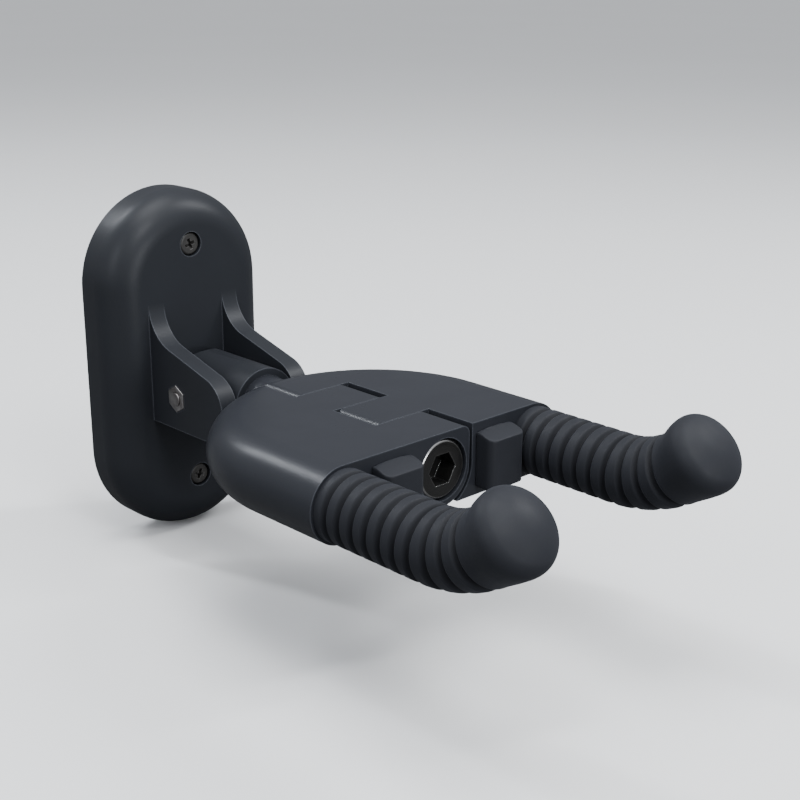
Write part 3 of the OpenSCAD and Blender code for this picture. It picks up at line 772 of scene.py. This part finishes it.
def makeSleeveTree():
    inputs = [(label, wholeKind if label in ("rings", "sides") else floatKind) for label in sleeve]
    inputs += [("start", vectorKind), ("finish", materialKind)]
    tree, given, result = newMaker("ribbedSleeve", inputs)
    got = given.outputs

    def reckon(at, operation, first, second=None, third=None):
        return calc(tree, at, operation, first, second, third)

    # how far along the arm each ring is
    bendLength = reckon((-6, 3), "MULTIPLY", got["bendRadius"], got["bendAngle"])
    bendEnd = reckon((-5, 3), "ADD", bendLength, got["straightLength"])
    total = reckon((-4, 3), "ADD", bendEnd, got["tipLength"])
    index = addNode(tree, "GeometryNodeInputIndex", (-6, 1)).outputs[0]
    last = reckon((-6, 0), "SUBTRACT", got["rings"], 1.0)
    share = reckon((-5, 1), "DIVIDE", index, last)
    along = reckon((-3, 1), "MULTIPLY", share, total)

    # where it lies: straight out, then up the bend, then straight on
    past = reckon((-2, 2), "SUBTRACT", along, got["straightLength"])
    turn = reckon((-1, 2), "DIVIDE", past, got["bendRadius"])
    turn = reckon((0, 2), "MAXIMUM", turn, 0.0)
    turn = reckon((1, 2), "MINIMUM", turn, got["bendAngle"])
    extra = reckon((0, 4), "SUBTRACT", along, bendEnd)
    extra = reckon((1, 4), "MAXIMUM", extra, 0.0)
    sine = reckon((2, 3), "SINE", turn)
    cosine = reckon((2, 2), "COSINE", turn)
    straight = reckon((1, 1), "MINIMUM", along, got["straightLength"])
    out = reckon((3, 3), "MULTIPLY_ADD", sine, got["bendRadius"], straight)
    out = reckon((4, 3), "MULTIPLY_ADD", extra, cosine, out)
    rise = reckon((3, 2), "SUBTRACT", 1.0, cosine)
    rise = reckon((4, 2), "MULTIPLY", rise, got["bendRadius"])
    rise = reckon((5, 2), "MULTIPLY_ADD", extra, sine, rise)
    back = reckon((5, 3), "MULTIPLY", out, -1.0)
    spot = addNode(tree, "ShaderNodeCombineXYZ", (6, 2))
    feed(tree, spot.inputs["Y"], back)
    feed(tree, spot.inputs["Z"], rise)
    place = addNode(tree, "ShaderNodeVectorMath", (7, 2), operation="ADD")
    feed(tree, place.inputs[0], spot.outputs[0])
    feed(tree, place.inputs[1], got["start"])

    # the ribs
    steps = reckon((-6, -1), "SUBTRACT", got["stretchFrom"], 1.0)
    bendFrom = reckon((-5, -1), "MULTIPLY_ADD", steps, got["ribPitch"], got["firstGroove"])
    even = reckon((-4, -1), "MINIMUM", along, bendFrom)
    even = reckon((-3, -1), "SUBTRACT", even, got["firstGroove"])
    even = reckon((-2, 0), "DIVIDE", even, got["ribPitch"])
    wider = reckon((-4, -2), "SUBTRACT", along, bendFrom)
    wider = reckon((-3, -2), "MAXIMUM", wider, 0.0)
    wider = reckon((-2, -2), "DIVIDE", wider, got["bendPitch"])
    turns = reckon((-2, -1), "ADD", reckon((-1, -2), "ADD", even, wider), 1.0)
    nearest = reckon((-1, -1), "ROUND", turns)
    apart = reckon((0, -1), "SUBTRACT", turns, nearest)
    apart = reckon((1, -1), "ABSOLUTE", apart)
    dip = ramp(tree, (2, -1), apart, 0.0, got["grooveWidth"], 1.0, 0.0)
    notFirst = reckon((1, -2), "GREATER_THAN", nearest, 0.5)
    limit = reckon((1, -3), "ADD", got["ribCount"], 0.5)
    notPast = reckon((2, -3), "LESS_THAN", nearest, limit)
    dip = reckon((3, -1), "MULTIPLY", dip, notFirst)
    dip = reckon((4, -1), "MULTIPLY", dip, notPast)
    ribbed = reckon((5, -1), "MULTIPLY", dip, got["grooveDepth"])
    ribbed = reckon((6, -1), "SUBTRACT", got["crestRadius"], ribbed)

    # the tip: a flare, a rounded rim and a shallow dome
    beyond = reckon((2, -5), "SUBTRACT", along, bendEnd)
    rimX = reckon((0, -6), "SUBTRACT", got["tipRadius"], got["rimRadius"])
    domeZ = reckon((0, -7), "SUBTRACT", got["tipLength"], got["domeRadius"])
    reach = reckon((1, -7), "SUBTRACT", got["domeRadius"], got["rimRadius"])
    reachSquared = reckon((2, -7), "MULTIPLY", reach, reach)
    rimXSquared = reckon((2, -6), "MULTIPLY", rimX, rimX)
    drop = reckon((3, -7), "SQRT", reckon((3, -6), "SUBTRACT", reachSquared, rimXSquared))
    rimZ = reckon((4, -7), "ADD", domeZ, drop)
    ratio = reckon((2, -8), "DIVIDE", got["domeRadius"], reach)
    meet = reckon((5, -8), "MULTIPLY_ADD", drop, ratio, domeZ)
    flareStart = reckon((4, -5), "MULTIPLY", rimZ, got["flareLead"])
    flare = ramp(tree, (5, -5), beyond, flareStart, rimZ, 0.0, 1.0)
    swell = reckon((5, -4), "SUBTRACT", got["tipRadius"], ribbed)
    flared = reckon((6, -4), "MULTIPLY_ADD", flare, swell, ribbed)
    offRim = reckon((6, -6), "SUBTRACT", beyond, rimZ)
    offRim = reckon((7, -6), "MULTIPLY", offRim, offRim)
    rimSquared = reckon((6, -7), "MULTIPLY", got["rimRadius"], got["rimRadius"])
    rimHeight = reckon((8, -6), "SUBTRACT", rimSquared, offRim)
    rimHeight = reckon((9, -6), "SQRT", reckon((9, -7), "MAXIMUM", rimHeight, 0.0))
    rimRadius = reckon((10, -6), "ADD", rimHeight, rimX)
    offDome = reckon((6, -9), "SUBTRACT", beyond, domeZ)
    offDome = reckon((7, -9), "MULTIPLY", offDome, offDome)
    domeSquared = reckon((6, -10), "MULTIPLY", got["domeRadius"], got["domeRadius"])
    domeHeight = reckon((8, -9), "SUBTRACT", domeSquared, offDome)
    domeRadius = reckon((9, -9), "SQRT", reckon((9, -10), "MAXIMUM", domeHeight, 0.0))
    onRim = reckon((8, -4), "GREATER_THAN", beyond, rimZ)
    onDome = reckon((8, -3), "GREATER_THAN", beyond, meet)

    def choose(at, switch, ifNot, ifSo):
        node = addNode(tree, "GeometryNodeSwitch", at, input_type="FLOAT")
        feed(tree, node.inputs[0], switch)
        feed(tree, node.inputs[1], ifNot)
        feed(tree, node.inputs[2], ifSo)
        return node.outputs[0]

    radius = choose((11, -4), onRim, flared, rimRadius)
    radius = choose((12, -4), onDome, radius, domeRadius)
    started = reckon((12, -2), "GREATER_THAN", index, 0.5)
    radius = reckon((13, -4), "MULTIPLY", radius, started)

    line = addNode(tree, "GeometryNodeMeshLine", (6, 5))
    feed(tree, line.inputs["Count"], got["rings"])
    moved = addNode(tree, "GeometryNodeSetPosition", (9, 5))
    feed(tree, moved.inputs["Geometry"], line.outputs[0])
    feed(tree, moved.inputs["Position"], place.outputs[0])
    kept = moved.outputs[0]
    for step, (label, value) in enumerate((("ringRadius", radius), ("groove", dip))):
        store = addNode(tree, "GeometryNodeStoreNamedAttribute", (14 + step, 5), data_type="FLOAT",
                        domain="POINT")
        feed(tree, store.inputs["Geometry"], kept)
        store.inputs["Name"].default_value = label
        feed(tree, store.inputs["Value"], value)
        kept = store.outputs[0]
    spine = addNode(tree, "GeometryNodeMeshToCurve", (17, 5))
    feed(tree, spine.inputs[0], kept)
    read = addNode(tree, "GeometryNodeInputNamedAttribute", (17, 3), data_type="FLOAT")
    read.inputs["Name"].default_value = "ringRadius"
    sized = addNode(tree, "GeometryNodeSetCurveRadius", (18, 5))
    feed(tree, sized.inputs["Curve"], spine.outputs[0])
    feed(tree, sized.inputs["Radius"], read.outputs[0])
    ring = addNode(tree, "GeometryNodeCurvePrimitiveCircle", (18, 3))
    feed(tree, ring.inputs["Resolution"], got["sides"])
    ring.inputs["Radius"].default_value = 1.0
    skin = addNode(tree, "GeometryNodeCurveToMesh", (19, 5))
    feed(tree, skin.inputs["Curve"], sized.outputs[0])
    feed(tree, skin.inputs["Profile Curve"], ring.outputs[0])
    if "Scale" in skin.inputs:
        feed(tree, skin.inputs["Scale"], read.outputs[0])
    joined = addNode(tree, "GeometryNodeMergeByDistance", (20, 5))
    feed(tree, joined.inputs["Geometry"], skin.outputs[0])
    joined.inputs["Distance"].default_value = rounding["joinWithin"] * mm
    smooth = addNode(tree, "GeometryNodeSetShadeSmooth", (21, 5))
    feed(tree, smooth.inputs[0], joined.outputs[0])
    finishMaker(tree, (22, 5), smooth.outputs[0], got["finish"], result)
    return tree


def faceOutwards(obj):
    work = bmesh.new()
    work.from_mesh(obj.data)
    bmesh.ops.recalc_face_normals(work, faces=work.faces)
    work.to_mesh(obj.data)
    work.free()


sleeveTree = makeSleeveTree()
lengths = ("firstGroove", "ribPitch", "bendPitch", "crestRadius", "grooveDepth", "straightLength",
           "bendRadius", "tipRadius", "tipLength", "rimRadius", "domeRadius")
for side in ("left", "right"):
    low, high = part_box(side + "_grip_sleeve")
    values = {key: value * mm if key in lengths else value for key, value in sleeve.items()}
    values["bendAngle"] = math.radians(sleeve["bendAngle"])
    values["start"] = ((low.x + high.x) / 2, high.y, 0.0)
    values["finish"] = gripRubber
    piece = runMaker(side + "_ribbed_sleeve", sleeveTree, values)
    faceOutwards(piece)
    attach(piece, side + "_half")
    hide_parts(side + "_grip_sleeve")
    print(piece.name, len(piece.data.polygons), "faces")

# Bumpers: firm rubber pads with soft edges

bumper = {
    "voxel": 0.22,
    "softening": 7,  # rounds of smoothing
    "softness": 0.6,
}


def makeBumper(side):
    piece = mergedCopy(side + "_bumper", side + "_soft_bumper")
    cells = piece.modifiers.new("cells", "REMESH")
    cells.mode = "VOXEL"
    cells.voxel_size = bumper["voxel"] * mm
    soften = piece.modifiers.new("soften", "SMOOTH")
    soften.factor = bumper["softness"]
    soften.iterations = bumper["softening"]
    bakeModifiers(piece)
    for face in piece.data.polygons:
        face.use_smooth = True
    piece.data.materials.append(gripRubber)
    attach(piece, side + "_half")
    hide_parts(side + "_bumper")
    return piece


for side in ("left", "right"):
    piece = makeBumper(side)
    print(piece.name, len(piece.data.polygons), "faces")

# Wall screws: one screw, placed by a node tree at each hole

screw = {
    "spacing": 71.4,
    "headRadius": 3.25,
    "headHeight": 2.6,
    "headUnderside": 0.15,  # the small slope under the head
    "rimRound": 0.7,
    "rimSteps": 6,
    "crossWidth": 3.7,
    "crossSlot": 1.05,
    "crossDepth": 1.7,
    "crossLift": 0.4,
    "crossTaper": (0.45, 0.75),  # what is left of its width and of its slot at the bottom
    "neckRadius": 1.4,
    "neckSlope": 0.5,
    "shankRadius": 2.0,
    "rootRadius": 1.55,
    "clearance": 0.02,
    "threadPitch": 1.6,
    "threadCrest": 0.28,  # share of the pitch, each way from the crest
    "threadStart": 1.2,
    "ringsPerTurn": 12,
    "pointLength": 5.0,
    "pointBlunt": 0.04,
    "threadLength": 30.0,
    "totalLength": 45.5,
    "sides": 40,
    "softening": 0.10,
    "softenedAngle": 40,
    "firstTurn": 0.35,  # how far the lower screw is turned, in radians
    "turnStep": 0.9,
}


def screwHead():
    # radius and height down the head and the neck, with the top of the head at 0
    top, rim, height = screw["headRadius"], screw["rimRound"], screw["headHeight"]
    slope = screw["headUnderside"]
    outline = []
    for step in range(screw["rimSteps"] + 1):
        a = math.pi / 2 * step / screw["rimSteps"]
        outline.append((top - rim + rim * math.sin(a), rim * math.cos(a) - rim))
    neck = screw["neckRadius"] - screw["clearance"]
    outline += [(top, -height + slope), (top - slope, -height), (screw["neckRadius"], -height)]
    outline += [(neck, -height - screw["neckSlope"]), (neck, screw["threadLength"] - screw["totalLength"])]
    return outline


def threadRadius(depth, around):
    # the crest runs round once in each pitch, grows at the start and fades at the point
    phase = (depth / screw["threadPitch"] + around) % 1.0
    crest = max(0.0, 1.0 - abs(phase - 0.5) / screw["threadCrest"])
    started = min(1.0, depth / screw["threadStart"])
    plain = screw["shankRadius"] - screw["clearance"]
    core = screw["rootRadius"] + (plain - screw["rootRadius"]) * (1 - started)
    left = screw["threadLength"] - depth
    taper = min(1.0, screw["pointBlunt"] + left / screw["pointLength"])
    return (core + (screw["shankRadius"] - core) * crest * started) * taper


def meshFrom(name, work):
    bmesh.ops.recalc_face_normals(work, faces=work.faces)
    mesh = bpy.data.meshes.new(name)
    work.to_mesh(mesh)
    work.free()
    return linkNew(name, mesh)


def makeScrewBody():
    # head up along +Z, shank down
    work = bmesh.new()
    sides = screw["sides"]
    turns = [i / sides for i in range(sides)]
    levels = [([radius] * sides, height) for radius, height in screwHead()]
    plainEnd = screw["totalLength"] - screw["threadLength"]
    steps = int(screw["threadLength"] / screw["threadPitch"] * screw["ringsPerTurn"])
    for k in range(1, steps + 1):
        depth = k * screw["threadLength"] / steps
        levels.append(([threadRadius(depth, around) for around in turns], -plainEnd - depth))
    rings = []
    for radii, height in levels:
        ring = []
        for radius, around in zip(radii, turns):
            a = 2 * math.pi * around
            spot = Vector((radius * math.cos(a), radius * math.sin(a), height))
            ring.append(work.verts.new(spot * mm))
        rings.append(ring)
    for upper, lower in zip(rings, rings[1:]):
        for i in range(sides):
            j = (i + 1) % sides
            work.faces.new((upper[i], lower[i], lower[j], upper[j]))
    work.faces.new(rings[0])
    work.faces.new(list(reversed(rings[-1])))
    return meshFrom("screwPattern", work)


def makeCross():
    # two crossed blades that narrow downwards
    work = bmesh.new()
    half, slotHalf = screw["crossWidth"] / 2, screw["crossSlot"] / 2
    widthLeft, slotLeft = screw["crossTaper"]
    levels = ((screw["crossLift"], 1.0, 1.0), (-screw["crossDepth"], widthLeft, slotLeft))
    for quarter in (0, 1):
        turned = Matrix.Rotation(quarter * math.pi / 2, 4, "Z")
        points = []
        for height, width, slot in levels:
            for x, y in ((-1, -1), (1, -1), (1, 1), (-1, 1)):
                spot = Vector((x * half * width, y * slotHalf * slot, height)) * mm
                points.append(work.verts.new(turned @ spot))
        for ids in ((0, 1, 2, 3), (7, 6, 5, 4), (0, 4, 5, 1), (1, 5, 6, 2), (2, 6, 7, 3), (3, 7, 4, 0)):
            work.faces.new([points[i] for i in ids])
    return meshFrom("crossCut", work)


def makeScrewPattern():
    pattern = makeScrewBody()
    cutter = makeCross()
    cut = pattern.modifiers.new("cross", "BOOLEAN")
    cut.operation = "DIFFERENCE"
    cut.solver = "EXACT"
    cut.use_self = True
    cut.object = cutter
    bakeModifiers(pattern)
    bpy.data.objects.remove(cutter)
    softenEdges(pattern, screw["softening"], 2, screw["softenedAngle"])
    return bakeModifiers(pattern)


def makeScrewTree():
    tree, given, result = newMaker("screwsInHoles", [
        ("spacing", floatKind), ("middle", vectorKind), ("firstTurn", floatKind), ("turnStep", floatKind),
        ("screw", "NodeSocketObject"), ("finish", materialKind)])
    got = given.outputs
    index = addNode(tree, "GeometryNodeInputIndex", (-6, 1)).outputs[0]
    side = calc(tree, (-5, 1), "SUBTRACT", index, 0.5)
    height = calc(tree, (-4, 1), "MULTIPLY", side, got["spacing"])
    spot = addNode(tree, "ShaderNodeCombineXYZ", (-3, 1))
    feed(tree, spot.inputs["Z"], height)
    place = addNode(tree, "ShaderNodeVectorMath", (-2, 1), operation="ADD")
    feed(tree, place.inputs[0], spot.outputs[0])
    feed(tree, place.inputs[1], got["middle"])
    line = addNode(tree, "GeometryNodeMeshLine", (-3, 3))
    line.inputs["Count"].default_value = 2
    moved = addNode(tree, "GeometryNodeSetPosition", (-1, 3))
    feed(tree, moved.inputs["Geometry"], line.outputs[0])
    feed(tree, moved.inputs["Position"], place.outputs[0])
    source = addNode(tree, "GeometryNodeObjectInfo", (-1, -1))
    feed(tree, source.inputs["Object"], got["screw"])
    spin = calc(tree, (-1, -3), "MULTIPLY_ADD", index, got["turnStep"], got["firstTurn"])
    turn = addNode(tree, "ShaderNodeCombineXYZ", (0, -3))
    turn.inputs["X"].default_value = math.radians(90)
    feed(tree, turn.inputs["Y"], spin)
    copies = addNode(tree, "GeometryNodeInstanceOnPoints", (2, 3))
    feed(tree, copies.inputs["Points"], moved.outputs[0])
    feed(tree, copies.inputs["Instance"], source.outputs["Geometry"])
    feed(tree, copies.inputs["Rotation"], turn.outputs[0])
    finishMaker(tree, (3, 3), copies.outputs[0], got["finish"], result)
    return tree


screwLow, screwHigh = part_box("wall_screws")
pattern = makeScrewPattern()
screws = runMaker("wall_screw_pair", makeScrewTree(), {
    "spacing": screw["spacing"] * mm,
    "middle": (0.0, screwLow.y, (screwLow.z + screwHigh.z) / 2),
    "firstTurn": screw["firstTurn"],
    "turnStep": screw["turnStep"],
    "screw": pattern,
    "finish": screwOxide,
})
bpy.data.objects.remove(pattern)
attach(screws, "wall")
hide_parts("wall_screws")
print(screws.name, len(screws.data.polygons), "faces")

# Floor

floorLook = {
    "tones": ((0.80, 0.80, 0.795), (0.83, 0.83, 0.825)),
    "bounce": (0.10, 0.10, 0.10),  # what the lamps' light finds, so little comes back up
    "shadeScale": 3.0,
    "paperScale": 900.0,
    "rough": 0.85,
    "bump": 0.15,
    "paperDepth": 0.05,
}


def makeFloor():
    material, tree, shader, where, _ = startFinish("floorPaper")
    shade = noise(tree, (-2, 1), where, floorLook["shadeScale"], 3.0, 0.5)
    tone = mixTone(tree, (0, 1), shade, *[solid(given) for given in floorLook["tones"]])
    seen = addNode(tree, "ShaderNodeLightPath", (0, 3)).outputs["Is Camera Ray"]
    feed(tree, shader.inputs["Base Color"], mixTone(tree, (2, 1), seen, solid(floorLook["bounce"]), tone))
    shader.inputs["Roughness"].default_value = floorLook["rough"]
    # seen from below it is clear
    below = addNode(tree, "ShaderNodeNewGeometry", (0, 5)).outputs["Backfacing"]
    feed(tree, shader.inputs["Alpha"], calc(tree, (2, 4), "SUBTRACT", 1.0, below))
    paper = noise(tree, (0, -2), where, floorLook["paperScale"], 3.0, 0.6)
    addBump(tree, shader, paper, floorLook["bump"], floorLook["paperDepth"])
    half = studio["floorSize"] / 2
    level = cadBounds[0][2] - studio["floorGap"] * mm
    mesh = bpy.data.meshes.new("floor")
    corners = [(-half, -half, level), (half, -half, level), (half, half, level), (-half, half, level)]
    mesh.from_pydata(corners, [], [(0, 1, 2, 3)])
    mesh.materials.append(material)
    floor = linkNew("floor", mesh)


makeFloor()
print("floor laid")
